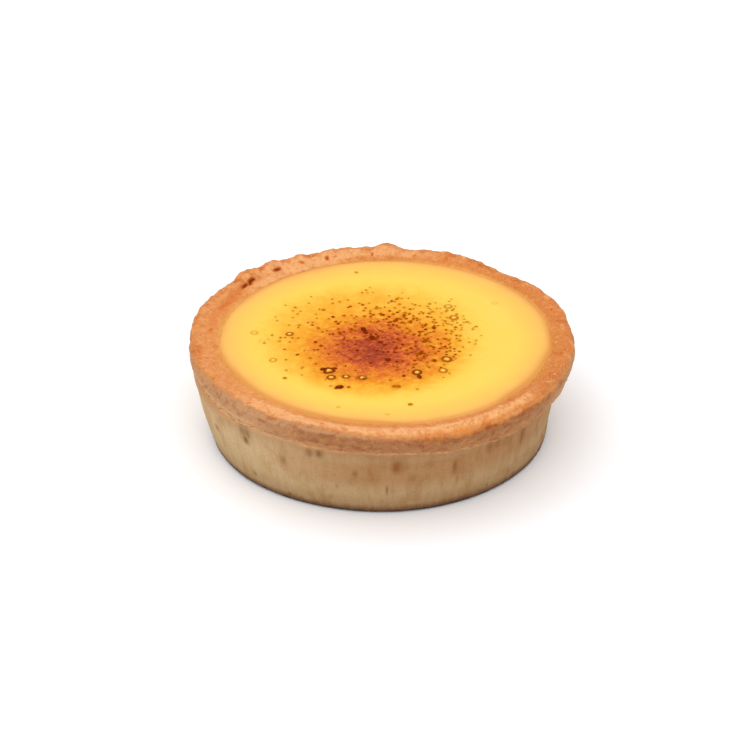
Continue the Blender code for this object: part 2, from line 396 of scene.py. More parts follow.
@dataclass(frozen=True)
class BakedPastry:
    """Baked shortcrust: a pale matt wall, a browner collar with egg wash, burnt spots and smears.

    Each band is its distance along the case's outline above the lip, in millimetres, and its colour.
    """

    bands: Stops = (
        # The darkest bands, from -18.6 to -17.1 mm, are painted shade round the foot, where it curves under to the
        # floor.
        (-21.0, (176, 134, 90)), (-18.6, (64, 45, 33)), (-17.9, (82, 61, 45)), (-17.1, (125, 96, 70)),
        (-15.9, (166, 136, 98)), (-12.0, (182, 155, 115)), (-6.0, (191, 161, 121)), (-3.6, (187, 157, 116)),
        (-1.4, (178, 144, 106)), (-0.4, (200, 154, 108)), (0.4, (206, 158, 112)), (1.2, (192, 151, 109)),
        (3.4, (183, 141, 101)), (5.0, (180, 132, 91)), (5.7, (190, 130, 80)), (6.4, (204, 134, 74)),
        (7.3, (208, 130, 70)), (9.5, (208, 130, 68)), (11.2, (206, 129, 64)), (12.1, (206, 134, 62)),
        (12.7, (212, 144, 66)), (14.0, (190, 116, 54)),
    )
    smear: Colour = (124, 90, 52)
    rust: Colour = (136, 86, 49)
    burnt: Colour = (112, 42, 6)
    toasted: Colour = (202, 104, 38)
    grooved: Colour = (208, 112, 46)
    yellowed: Colour = (232, 170, 90)
    floury: Colour = (214, 168, 120)
    blushed: Colour = (228, 168, 112)
    golden: Colour = (216, 134, 58)
    matt: float = 0.80
    washed: float = 0.50

    def material(self) -> bpy.types.Material:
        """The finish as a material.

        Returns:
            The material.
        """
        board = Board(Slot.PASTRY.value)
        painted, grain, tint, mix = board.painted, board.grain, board.tint, board.mix
        along, hollow = painted("along"), painted("hollow")
        tone = painted("tone") + (grain(2.6) - 0.5) * 0.9 + (grain(0.8) - 0.5) * 0.4
        on_wall = 1.0 - along.ramp(-2.0, -0.4)
        on_top = painted("tone").ramp(4.8, 6.6)
        on_face = along.ramp(0.2, 1.2) * (1.0 - on_top)
        streaks = board.streaks(1.0, 7.0, 3.0, 0.4)
        clouds = board.streaks(4.2, 8.0, 3.0, 0.6)
        blotches, patches = grain(1.8, 4.0, 0.6), grain(2.2, 4.0, 0.5, 1.2)
        fine, meal = grain(0.5, 3.0, 0.3), grain(0.42, 3.0)
        scorch = painted("scorch") + (grain(0.9) - 0.5) * 0.4
        colour = board.stops(tone, self.bands)
        for lay, over, share in (
            (tint, (248, 243, 238), on_wall * streaks.ramp(0.48, 0.68) * 0.8),
            (mix, (210, 182, 142), on_wall * streaks.ramp(0.48, 0.32) * 0.08),
            (tint, (240, 230, 218), on_wall * clouds.ramp(0.48, 0.66) * 0.8),
            (tint, (238, 228, 218), on_wall * meal.ramp(0.52, 0.68) * 0.7),
            # painted shade, partly real browning: the case darker to the right and the front, away from the light
            (tint, (214, 184, 160), painted("tan")),
            (mix, self.blushed, painted("blush") * (blotches.ramp(0.66, 0.36) * 0.40 + 0.60)),
            (mix, self.toasted, on_top * blotches.ramp(0.50, 0.74) * 0.26),
            (mix, (234, 168, 106), on_top * blotches.ramp(0.46, 0.28) * 0.30),
            (tint, (242, 226, 208), on_top * fine.ramp(0.50, 0.68)),
            (mix, (242, 190, 134), on_top * fine.ramp(0.42, 0.30) * 0.22),
            (tint, (236, 218, 218), on_face * patches.ramp(0.50, 0.66)),
            (mix, (196, 136, 82), on_face * patches.ramp(0.46, 0.30) * 0.5),
            (tint, (230, 216, 206), on_face * fine.ramp(0.52, 0.68) * 0.8),
            # painted shade in the hollows of the fine relief, then painted light on its bumps
            (tint, (238, 212, 188), hollow.ramp(0.10, 0.85) * (1.0 - on_wall * 0.8)),
            (mix, (238, 184, 126), on_top * hollow.ramp(-0.15, -0.90) * 0.24),
            (mix, self.golden, painted("golden") * grain(1.6, 2.0, 0.4).ramp(0.36, 0.66) * 0.6),
            (mix, self.toasted, painted("toast")),
            (mix, self.grooved, painted("groove")),
            (mix, self.yellowed, painted("yellowed")),
            (mix, self.floury, painted("flour") * fine.ramp(0.30, 0.60)),
            (mix, self.smear, painted("smear")),
            (mix, self.rust, painted("rust")),
            (mix, self.toasted, scorch.ramp(0.04, 0.45) * 0.85),
            (mix, self.burnt, scorch.ramp(0.30, 1.00)),
        ):
            colour = lay(colour, over, share)
        wash = painted("wash") * (grain(1.6, 3.0).ramp(0.30, 0.62) * 0.6 + 0.4)
        rough = self.matt - wash * (self.matt - self.washed) + (grain(0.4) - 0.5) * 0.2
        rub = board.bump(grain(0.35, 4.0), 0.08)
        others = {
            "Normal": board.bump(grain(1.1, 3.0, 1.0), 0.14, rub),
            "Specular IOR Level": 0.06,
            "Coat Weight": wash * 0.10,
            "Coat Roughness": 0.30,
            "Subsurface Weight": 0.06,
            "Subsurface Scale": 0.0008,
            "Subsurface Radius": (1.0, 0.5, 0.25),
        }
        return board.finish(colour, rough, others)


@dataclass(frozen=True)
class SetCurd:
    """Glossy set lemon curd: yellow, peach towards the pastry, and scorched in the middle.

    The scorch is coloured by distance from the middle of the torched patch, the edge by distance from the
    curd's middle, both in curd radii.
    """

    scorch: Stops = (
        (0.00, (148, 53, 27)), (0.09, (160, 62, 30)), (0.15, (177, 73, 32)), (0.21, (196, 90, 34)),
        (0.27, (208, 107, 33)), (0.33, (216, 123, 31)), (0.39, (221, 134, 31)), (0.46, (227, 155, 38)),
        (0.54, (232, 171, 55)), (0.62, (235, 188, 72)), (0.70, (235, 196, 82)), (0.82, (235, 198, 87)),
    )
    edge: Stops = (
        (0.88, (234, 188, 86)), (0.935, (233, 181, 89)), (0.961, (230, 174, 88)),
        (0.974, (226, 166, 86)), (0.987, (220, 156, 80)), (1.0, (210, 142, 70)),
    )
    gloss: float = 0.22

    def material(self) -> bpy.types.Material:
        """The finish as a material.

        Returns:
            The material.
        """
        board = Board(Slot.CURD.value)
        grain, tint, mix = board.grain, board.tint, board.mix
        reach, heat = board.painted("reach"), board.painted("torched")
        inner = 1.0 - heat.ramp(0.30, 0.62)
        cloudy = heat + (grain(3.4, 4.0, 0.8) - 0.5) * 0.22
        cloudy = cloudy + (grain(1.4, 4.0, 0.8) - 0.5) * (inner * 0.50 + 0.04)
        specks = board.cells(1.1).ramp(0.46, 0.14) * grain(1.9).ramp(0.42, 0.6)
        embers = grain(0.7, 2.0, 0.4).ramp(0.56, 0.72) * (1.0 - heat.ramp(0.16, 0.40))
        wavy = reach + (grain(5.0) - 0.5) * 0.05 * (1.0 - reach.ramp(0.94, 0.99))
        colour = board.stops(cloudy, self.scorch)
        for lay, over, share in (
            (tint, (176, 120, 100), specks * (1.0 - heat.ramp(0.24, 0.46)) * 0.8),
            (mix, (226, 116, 48), embers * 0.5),
            (tint, mix((196, 116, 40), (206, 156, 56), heat.ramp(0.36, 0.62)), board.painted("singed")),
            (mix, board.stops(wavy, self.edge), wavy.ramp(0.76, 0.90)),
        ):
            colour = lay(colour, over, share)
        rough = (grain(4.0) - 0.5) * 0.10 + (1.0 - heat.ramp(0.1, 0.5)) * 0.14 + self.gloss
        crackle = board.bump(grain(0.8, 4.0, 0.6) * (1.0 - heat.ramp(0.25, 0.5)), 0.12)
        others = {
            "Normal": board.bump(grain(5.0), 0.10, crackle),
            "Subsurface Weight": 0.22,
            "Subsurface Scale": 0.0010,
            "Subsurface Radius": (1.0, 0.7, 0.25),
            "Specular IOR Level": 0.025,
        }
        return board.finish(colour, rough, others)


@dataclass(frozen=True)
class Browned:
    """Matt finish of small pieces, from pale to dark as the layer "char" of their mesh says, from 0 to 1."""

    name: str
    colours: Stops
    rough: float
    depth: float = 0.04

    def material(self) -> bpy.types.Material:
        """The finish as a material.

        Returns:
            The material.
        """
        board = Board(self.name)
        char = board.painted("char") + (board.grain(0.5, 3.0) - 0.5) * 0.35
        rough = (board.grain(0.3) - 0.5) * 0.2 + self.rough
        others = {"Normal": board.bump(board.grain(0.3, 3.0), self.depth), "Specular IOR Level": 0.0}
        return board.finish(board.stops(char, self.colours), rough, others)


# ---- making


def spun(layer: str, rows: list[tuple], middle: tuple[float, ...], turn: float, steps: int) -> bmesh.types.BMesh:
    """Turn an outline about an upright axis.

    Args:
        layer: Name of the painted layer.
        rows: Radius, height and painted value of each point of the outline.
        middle: A point of the axis, from which heights count.
        turn: How far to turn, in radians.
        steps: Number of steps in that turn.

    Returns:
        The shell, with its ends merged where the turn is full.
    """
    shell = bmesh.new()
    paint = shell.verts.layers.float.new(layer)
    x, y, z = middle
    verts = [shell.verts.new((x + radius, y, z + height)) for radius, height, _value in rows]
    for vert, row in zip(verts, rows):
        vert[paint] = row[2]
    geom = verts + [shell.edges.new(pair) for pair in zip(verts, verts[1:])]
    full = turn == math.tau
    bmesh.ops.spin(shell, geom=geom, cent=(x, y, 0.0), axis=UP, angle=turn, steps=steps, use_merge=full)
    return shell


def close(shell: bmesh.types.BMesh) -> None:
    """Merge a shell's doubles and point its faces outwards."""
    bmesh.ops.remove_doubles(shell, verts=shell.verts, dist=MERGE_DISTANCE)
    bmesh.ops.recalc_face_normals(shell, faces=shell.faces)


def turned(profile: list[Spot], segments: int, along: list[float]) -> bmesh.types.BMesh:
    """Turn a profile that starts and ends on the Z axis into a closed shell.

    Args:
        profile: Its (radius, height) points.
        segments: Number of steps round.
        along: What the layer "along" says at each point.

    Returns:
        The shell.
    """
    wedges = 2**WEDGE_DOUBLINGS
    rows = [(*spot, value) for spot, value in zip(profile, along)]
    shell = spun("along", rows, (0.0, 0.0, 0.0), math.tau / wedges, segments // wedges)
    for doubling in range(WEDGE_DOUBLINGS):
        made = bmesh.ops.duplicate(shell, geom=shell.verts[:] + shell.edges[:] + shell.faces[:])
        copies = [item for item in made["geom"] if isinstance(item, bmesh.types.BMVert)]
        turn = Matrix.Rotation(math.tau / wedges * 2**doubling, 3, "Z")
        bmesh.ops.rotate(shell, verts=copies, cent=(0.0, 0.0, 0.0), matrix=turn)
    close(shell)
    return shell


def mesh_of(name: str, shell: bmesh.types.BMesh) -> bpy.types.Mesh:
    """A shell as a mesh. The shell is freed.

    Args:
        name: The mesh's name.
        shell: The shell.

    Returns:
        The mesh.
    """
    mesh = bpy.data.meshes.new(name)
    shell.to_mesh(mesh)
    shell.free()
    return mesh


def stood(name: str, data: bpy.types.ID) -> bpy.types.Object:
    """Stand a new object with some data in the scene.

    Args:
        name: The object's name.
        data: Its mesh, light or camera.

    Returns:
        The object.
    """
    thing = bpy.data.objects.new(name, data)
    bpy.context.scene.collection.objects.link(thing)
    return thing


def finished(name: str, shell: bmesh.types.BMesh, material: bpy.types.Material, slot: Slot) -> bpy.types.Object:
    """Make a bmesh shell into a smooth piece that rides on the tartlet.

    Args:
        name: The piece's name.
        shell: Its shell, which is freed.
        material: Its finish.
        slot: The record's slot of that finish; not used.

    Returns:
        The piece.
    """
    shell.normal_update()
    mesh = mesh_of(name, shell)
    mesh.materials.append(material)
    mesh.shade_smooth()
    piece = stood(name, mesh)
    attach(piece, "root")
    log.info("%s: %d faces", name, len(mesh.polygons))
    return piece


class Pile:
    """Many small shells gathered into one, with the painted layer "char"."""

    def __init__(self) -> None:
        """Start with nothing."""
        self.shell = bmesh.new()
        self.shell.verts.layers.float.new("char")

    def lump(self, point: Vector, normal: Vector, half: Vector, turn: float, char: float) -> None:
        """Gather a small uneven lump of a few dozen faces.

        Args:
            point: Its middle.
            normal: Which way its third axis points.
            half: Its half sizes.
            turn: Its turn about the normal, in degrees.
            char: How charred it is.
        """
        part = bmesh.new()
        part.verts.layers.float.new("char")
        bmesh.ops.create_uvsphere(part, u_segments=8, v_segments=4, radius=1.0)
        layer = part.verts.layers.float["char"]
        shift = point / half.length
        for vert in part.verts:
            vert[layer] = char
            vert.co *= 1.0 + 0.3 * noise.noise(vert.co * 1.3 + shift)
        stand = normal.to_track_quat("Z", "Y") if normal.z < 0.9 else UP.rotation_difference(normal)
        shape = Matrix.Translation(point) @ stand.to_matrix().to_4x4() @ Matrix.Rotation(math.radians(turn), 4, "Z")
        bmesh.ops.transform(part, verts=part.verts, matrix=shape @ Matrix.Diagonal((*half, 1.0)))
        self.add(part)

    def add(self, part: bmesh.types.BMesh) -> None:
        """Gather a small shell, which is freed.

        Args:
            part: The shell.
        """
        mesh = mesh_of("part", part)
        self.shell.from_mesh(mesh)
        bpy.data.meshes.remove(mesh)

    def finished(self, name: str, skin: Browned, slot: Slot) -> bpy.types.Object:
        """Make the pile into a piece of a finish."""
        return finished(name, self.shell, skin.material(), slot)


class Surface:
    """A finished piece's surface, to lay small things on."""

    def __init__(self, piece: bpy.types.Object) -> None:
        """Take the surface of a piece.

        Args:
            piece: The piece.
        """
        shell = bmesh.new()
        shell.from_mesh(piece.data)
        self.tree = BVHTree.FromBMesh(shell)
        shell.free()

    def below(self, x: float, y: float) -> tuple[Vector, Vector]:
        """The highest point at a place, and the normal there."""
        return self.tree.ray_cast(Vector((x, y, 0.1)), -UP)[:2]

    def beside(self, angle: float, height: float) -> tuple[Vector, Vector]:
        """The outermost point at an angle and a height, and the normal there."""
        outward = Vector((math.cos(math.radians(angle)), math.sin(math.radians(angle)), 0.0))
        return self.tree.ray_cast(outward * 0.1 + UP * height, -outward)[:2]


@dataclass(frozen=True)
class Mark:
    """A mark on the case.

    Attributes:
        angle: Where, in degrees.
        half_width: Half its width, in degrees.
        low: Its lower end or inner radius, in millimetres.
        high: Its upper end or outer radius, in millimetres.
        strength: How strong it is, from 0 to 1.
        flat: How much of its reach, from its middle, it covers evenly.
    """

    angle: float
    half_width: float
    low: float
    high: float
    strength: float = 1.0
    flat: float = 0.0

    def cover(self, angle: float, place: float) -> float:
        """How far the mark covers a point, from 0 to its strength.

        Args:
            angle: The point's angle in degrees.
            place: Its height or radius in millimetres.

        Returns:
            The cover.
        """
        away = abs(turn_between(angle, self.angle)) / self.half_width
        if away > 1.0:
            return 0.0
        along = abs(place - 0.5 * (self.low + self.high)) / (0.62 * (self.high - self.low))
        across, down = (bell(max(far - self.flat, 0.0), 1.0 - self.flat) for far in (away, along))
        return self.strength * across * down


def marks(*rows: tuple[float, ...]) -> tuple[Mark, ...]:
    """Marks from rows of their numbers."""
    return tuple(Mark(*row) for row in rows)


def strongest(several: tuple[Mark, ...], angle: float, place: float) -> float:
    """How far the strongest of several marks covers a point."""
    return max(mark.cover(angle, place) for mark in several)


@dataclass
class PastryCase:
    """The baked shortcrust case, with its hand-pressed collar. Its tables are in degrees and millimetres."""

    collar_radius: float = 45.0 * MM
    case_height: float = 24.1 * MM
    base_radius: float = 39.2 * MM
    base_corner: float = 1.2 * MM
    wall_top: Spot = (42.6 * MM, 17.0 * MM)
    lip: Spot = (44.1 * MM, 17.8 * MM)
    lip_rounding: float = 0.7 * MM
    shoulder_height: float = 21.1 * MM
    crest_radius: float = 42.7 * MM
    crown_fullness: float = 0.66
    floor_thickness: float = 4.0 * MM
    floor_corner: float = 2.0 * MM
    opening: Spot = (38.5 * MM, 23.5 * MM)
    cavity_foot_radius: float = 36.0 * MM
    base_offset: float = -0.65 * MM
    wall_top_offset: float = -1.6 * MM
    lip_offset: float = -0.8 * MM
    opening_offset: float = 0.85 * MM
    lip_end: float = 18.4 * MM
    foot_ring: Spot = (34.0 * MM, 38.5 * MM)  # where the underside starts to follow the wall's bulges, and does
    collar_ring: float = 39.4 * MM  # the collar is uneven outside this radius
    segments: int = 800

    # Angle, half width, how far out and how far up
    collar_lumps = (
        (92.0, 95.0, 0.15, 0.55), (130.0, 30.0, 0.30, 0.45), (30.0, 30.0, 0.20, 0.12), (6.0, 11.0, -0.20, 0.00),
        (20.0, 10.0, 0.25, 0.30), (47.0, 16.0, -0.95, -0.35), (69.0, 5.0, 0.10, 0.35), (82.0, 7.0, -0.10, -0.30),
        (88.5, 5.0, 0.20, 0.95), (103.0, 9.0, 0.10, 0.20), (112.0, 6.0, -0.10, -0.30),
        (121.0, 5.0, 0.00, -0.25), (127.5, 6.0, 0.45, 0.50), (137.0, 8.0, 0.65, 0.70),
        (162.0, 20.0, 0.60, 0.30), (222.0, 16.0, 0.15, -0.20), (246.0, 12.0, -0.10, 0.20),
        (284.0, 14.0, 0.10, -0.15), (318.0, 18.0, -0.15, 0.20),
    )
    # Angle, half width and how far the lip rises
    lip_swings = (
        (198.0, 20.0, -0.6), (238.0, 30.0, 1.3), (268.0, 24.0, 0.7), (305.0, 30.0, -0.8),
        (326.0, 22.0, -0.7), (15.0, 30.0, 0.4), (95.0, 36.0, -0.4), (150.0, 28.0, 0.4),
    )
    # Angle, half width, and how far the wall is out at the base, low down, at the top and at the lip
    wall_bulges = (
        (192.0, 55.0, (0.20, 0.40, -0.05, -1.60)),
        (0.0, 60.0, (0.45, 0.30, 0.05, 0.00)),
        (250.0, 40.0, (-0.25, -0.10, 0.00, 0.00)),
    )
    outward_waver = ((5, 0.12, 0.6), (9, 0.08, 2.1))
    upward_waver = ((7, 0.10, 1.3), (13, 0.08, 0.4))
    lip_waver = ((11, 0.15, 0.7),)
    # Angle, half width, half breadth and depth of the groove round the back left
    crease = (148.0, 38.0, 1.0, 0.42)

    smears = marks(
        (223.8, 4.6, 13.4, 19.2, 0.72), (223.4, 3.2, 12.2, 15.8, 0.95), (225.0, 1.5, 13.4, 18.6, 0.75),
        (237.6, 2.2, 10.6, 14.2, 0.72), (247.5, 2.0, 15.0, 18.2, 0.62), (250.7, 2.2, 15.0, 18.4, 0.75),
        (261.5, 1.4, 10.2, 13.2, 0.80), (280.0, 1.7, 8.4, 11.6, 0.35), (207.0, 2.4, 9.8, 12.4, 0.60),
        (253.0, 1.0, 3.2, 4.8, 0.50), (255.5, 1.0, 6.5, 8.6, 0.50), (308.0, 1.0, 1.7, 3.4, 0.60),
        (224.0, 1.7, 3.1, 5.3, 0.75), (237.9, 1.3, 0.7, 2.8, 1.00), (271.6, 0.7, 5.0, 9.0, 0.85),
    )
    rusts = marks(
        (274.9, 2.8, 11.9, 16.0, 0.88, 0.2), (284.5, 2.0, 12.0, 15.8, 0.42), (294.1, 2.1, 8.8, 14.2, 0.90),
        (296.0, 4.2, 8.0, 15.6, 0.28), (295.2, 1.1, 5.2, 9.6, 0.45), (306.4, 2.0, 12.2, 16.2, 0.70),
        (309.8, 1.7, 12.4, 16.0, 0.55), (322.8, 2.5, 9.4, 16.2, 0.90), (318.2, 1.7, 2.2, 5.2, 0.45),
    )
    # Burnt spots on top of the collar, then notches across it, by radius
    scorches = marks(
        (93.3, 1.0, 40.1, 41.6, 0.75), (108.6, 1.1, 40.2, 41.8, 0.75), (118.2, 1.3, 40.3, 41.9, 0.60),
        (127.6, 2.5, 40.4, 41.8, 1.05), (138.8, 2.8, 40.7, 42.0, 1.20), (140.0, 2.0, 40.2, 41.3, 0.95),
        (142.4, 3.4, 40.6, 41.9, 1.15), (157.0, 4.0, 40.2, 41.3, 0.40), (174.0, 3.2, 39.6, 41.0, 0.55),
        (79.0, 0.8, 40.6, 41.8, 0.50), (18.0, 1.3, 41.6, 42.8, 0.60), (224.4, 1.0, 41.9, 43.0, 0.60),
        (251.4, 0.8, 41.0, 42.0, 0.55), (105.6, 0.9, 40.4, 41.5, 0.35), (350.0, 0.9, 41.0, 42.2, 0.35),
    )
    notches = marks(
        (268.8, 0.9, 41.0, 43.6, 0.8), (273.1, 1.3, 41.0, 43.8, 0.9), (67.8, 1.4, 39.8, 43.4, 0.9),
        (283.5, 0.8, 43.0, 45.8, 0.5), (23.0, 1.0, 42.0, 46.0, 0.4), (199.0, 1.0, 42.4, 46.0, 0.5),
    )
    crevice = Mark(152.0, 32.0, -1.3, 0.9)

    def outside(self) -> list[Spot]:
        """Profile from the middle of the underside, up the tapered wall, to below the widest point.

        Returns:
            Its (radius, height) points.
        """
        corner = self.base_corner
        rounding = self.lip_rounding
        foot = arc((self.base_radius - corner, corner), (corner, corner), -90.0, -8.0, 5)
        lip = arc((self.lip[0] - rounding, self.lip[1] + rounding), (rounding, rounding), -90.0, -10.0, 5)
        face = line(lip[-1], (self.collar_radius, self.shoulder_height), 9)
        underside = [(0.0, 0.0)] + line((0.0, 0.0), foot[0], 10)
        wall = line(foot[-1], self.wall_top, 32)
        return underside + foot + wall + [self.wall_top] + line(self.wall_top, lip[0], 3) + lip + face

    def top(self) -> list[Spot]:
        """Profile over the full-shouldered top of the collar, from its widest point to the opening.

        Returns:
            Its (radius, height) points.
        """
        reach = (self.collar_radius - self.crest_radius, self.case_height - self.shoulder_height)
        crown = arc((self.crest_radius, self.shoulder_height), reach, 0.0, 90.0, 17, self.crown_fullness)
        return crown + line(crown[-1], self.opening, 14) + [self.opening]

    def inside(self) -> list[Spot]:
        """Profile down the inner wall and round the foot of the cavity, to the middle of its floor.

        Returns:
            Its (radius, height) points.
        """
        corner = self.floor_corner
        middle = (self.cavity_foot_radius - corner, self.floor_thickness + corner)
        foot = arc(middle, (corner, corner), 0.0, -90.0, 4)
        floor = line(foot[-1], (0.0, self.floor_thickness), 3)
        return line(self.opening, foot[0], 5) + foot + floor + [(0.0, self.floor_thickness)]

    def lean(self, radius: float, height: float) -> float:
        """Shift along X of a point, which leans the wall and sets the cavity off centre.

        Args:
            radius: The point's radius.
            height: Its height.

        Returns:
            The shift, which is none on the collar's outside.
        """
        floor, wall, lip = self.floor_thickness, self.wall_top[1], self.lip[1]
        if height > floor - MERGE_DISTANCE and radius < self.opening[0] + MERGE_DISTANCE:
            share = (height - floor) / (self.opening[1] - floor)
            return part_way(self.base_offset, self.opening_offset, share)
        if height > self.shoulder_height:
            return self.opening_offset * (1.0 - smooth_step(radius, self.opening[0], self.crest_radius))
        if height < wall + MERGE_DISTANCE:
            return part_way(self.base_offset, self.wall_top_offset, height / wall)
        if height < lip + MERGE_DISTANCE:
            return part_way(self.wall_top_offset, self.lip_offset, (height - wall) / (lip - wall))
        return self.lip_offset * (1.0 - smooth_step(height, lip, self.lip_end))

    def press(self, spot: Vector) -> None:
        """Move a point of the case to where it is on an uneven, hand-pressed one. The underside stays flat.

        Args:
            spot: The point, which is moved.
        """
        radius = math.hypot(spot.x, spot.y)
        angle = angle_of(spot)
        height = spot.z
        if radius > self.foot_ring[0] and (height < self.floor_thickness or radius > self.collar_ring):
            grown = 1.0 + self.bulge(angle, height) * smooth_step(radius, *self.foot_ring) / radius
            spot.x *= grown
            spot.y *= grown
        if radius < self.collar_ring:
            return
        out = waver(angle, self.outward_waver)
        rise = waver(angle, self.upward_waver)
        for centre, half_width, lump_out, lump_rise in self.collar_lumps:
            share = near(angle, centre, half_width)
            out += share * (lump_out * MM)
            rise += share * (lump_rise * MM)
        swing = waver(angle, self.lip_waver) + 0.22 * MM * ripple(spot, 3.0, 40.0) + self.lip_swing(angle)
        centre, half_width, breadth, depth = self.crease
        on_collar = smooth_step(height, self.wall_top[1], self.shoulder_height)
        grown = 1.0 + out * on_collar * smooth_step(radius, 39.3 * MM, 44.0 * MM) / radius
        spot.x *= grown
        spot.y *= grown
        spot.z += rise * on_collar * smooth_step(radius, self.collar_ring, 41.9 * MM)
        spot.z += swing * bell(height - self.lip[1], 3.4 * MM) * smooth_step(radius, 39.5 * MM, 40.5 * MM)
        off_crease = radius - self.crease_radius(angle) + 0.35 * MM * ripple(spot, 4.0, seed=21.0)
        sunk = depth * MM * near(angle, centre, half_width) * bell(off_crease, breadth * MM)
        spot.z -= sunk * smooth_step(height, 22.0 * MM, 23.4 * MM)

    def lip_swing(self, angle: float) -> float:
        """How far the lip rises at an angle."""
        return sum(rise * MM * near(angle, centre, half) for centre, half, rise in self.lip_swings)

    def bulge(self, angle: float, height: float) -> float:
        """How far the wall or the lip bulges out at an angle and a height.

        Args:
            angle: The angle in degrees.
            height: The height.

        Returns:
            The bulge in metres.
        """
        heights = (0.0, 8.0 * MM, self.wall_top[1], self.lip[1], self.shoulder_height)
        out = 0.0
        for centre, half_width, sizes in self.wall_bulges:
            stops = list(zip(heights, (*sizes, 0.0)))
            for (low, start), (high, end) in zip(stops, stops[1:]):
                if low <= height < high:
                    size = part_way(start * MM, end * MM, smooth_step(height, low, high))
                    out += size * near(angle, centre, half_width)
        return out

    @staticmethod
    def crease_radius(angle: float) -> float:
        """Where the groove round the back left runs: it is nearer the curd at the left."""
        return (41.4 - 0.75 * smooth_step(angle % 360.0, 128.0, 156.0)) * MM

    def hidden_marks(self) -> tuple[Mark, ...]:
        """Smears like those in front, for the rest of the wall.

        Returns:
            The smears.
        """
        dice = random.Random(11)
        return tuple(
            Mark(
                (338.0 + 218.0 * (index + dice.uniform(0.1, 0.9)) / 15.0) % 360.0,
                dice.uniform(0.9, 2.2),
                low := dice.uniform(2.0, 13.0),
                low + dice.uniform(1.8, 5.0),
                dice.uniform(0.4, 0.7),
            )
            for index in range(15)
        )

    def relief(self, spot: Vector, along: float, angle: float) -> float:
        """Height of the fine relief above the pressed shape, in millimetres.

        Args:
            spot: The point on the pressed shape.
            along: Its distance along the outline above the lip, in millimetres.
            angle: Its angle in degrees.

        Returns:
            The height, outwards.
        """
        if along < -19.0 or along > 13.5:
            return 0.0
        on_top = between(along, 4.6, 12.0, 1.0)
        on_edge = between(along, 5.2, 8.4, 1.4)
        on_face = between(along, 1.0, 4.6, 0.8)
        on_wall = between(along, -17.6, -1.4, 0.8)
        height = on_top * ripples(spot, (0.16, 3.2), (0.14, 1.5, 0.0, 3.0), (0.08, 0.8))
        crumbly = 0.7 + 0.8 * near(angle, 130.0, 60.0) + 0.7 * near(angle, 312.0, 30.0)
        crumbly += 0.5 * near(angle, 50.0, 34.0)
        height += on_edge * crumbly * ripples(spot, (0.28, 2.3, 0.0, 7.0), (0.18, 1.1, 0.0, 5.0))
        height += on_face * ripples(spot, (0.12, 2.8, 1.4), (0.08, 1.0, 0.0, 2.0))
        height += on_wall * (0.10 * ripple(spot, 9.0) + 0.025 * ripple(straightened(spot), 1.3, 8.0, 4.0))
        height += on_wall * 0.04 * ripple(spot, 0.9, seed=6.0)
        burr = 0.35 + ripples(spot, (1.0, 2.4, 0.0, 9.0), (0.8, 1.0, 0.0, 8.0))
        return height + 0.30 * max(bell(along - 0.35, 0.75) * burr, 0.0)

    def shadiness(self, angle: float, along: float, height: float) -> float:
        """How much browner and darker the case is than at its left, by angle, place on the outline and height in mm:
        partly real browning, partly painted shade away from the light on the left.

        Args:
            angle: The angle in degrees.
            along: Distance along the outline above the lip, in millimetres.
            height: Height in millimetres.

        Returns:
            The share, from 0 to 1.
        """
        if along > 6.0:
            edge = arcs(angle, (0.30, 316.0, 332.0, 14.0), (0.22, 152.0, 190.0, 14.0))
            return 0.20 * arc_share(angle, 318.0, 396.0, 24.0) + edge * between(along, 6.0, 8.0, 0.8)
        if along > -0.6 and angle > 190.0:
            high = 5.2 - 0.4 * smooth_step(angle, 282.0, 296.0)
            front = 0.8 * arc_share(angle, 262.0, 314.0, 38.0) * between(along, -0.6, high, 1.0)
            return front + 0.28 * arc_share(angle, 212.0, 244.0, 18.0) * between(along, 3.4, 7.0, 1.2)
        shady = arcs(angle, (0.85, 282.0, 320.0, 55.0), (0.45, 0.0, 150.0, 30.0))
        shady += 0.25 * arc_share(angle, 243.0, 262.0, 12.0) * smooth_step(height, 6.0, 10.0)
        if along > -0.6:
            return shady
        low = 0.35 + 0.65 * smooth_step(height, 5.0, 11.0)
        return shady * low * (1.0 - 0.5 * smooth_step(height, 13.5, 16.5))

    @staticmethod
    def tone_shift(angle: float) -> float:
        """How much further up, in mm, the brown of the face reaches at an angle."""
        left = 2.2 * near(angle, 230.0, 54.0)
        return left - 0.7 * arc_share(angle, 296.0, 318.0, 22.0) + 1.3 * near(angle, 90.0, 100.0)

    def wall_paint(self, smears: tuple[Mark, ...], spot: Vector, angle: float) -> tuple[dict[str, float], float]:
        """Paint the wall at a spot.

        Args:
            smears: All of its smears.
            spot: The spot.
            angle: Its angle in degrees.

        Returns:
            What each painted layer says, and how far the marks are sunk in millimetres.
        """
        smear = strongest(smears, angle, spot.z / MM)
        rust = strongest(self.rusts, angle, spot.z / MM)
        ragged = 0.95 + 0.6 * ripple(spot, 1.0, 3.0, 12.0)
        return {"smear": min(smear * ragged, 1.0), "rust": min(rust * ragged, 1.0)}, 0.16 * (smear + rust)

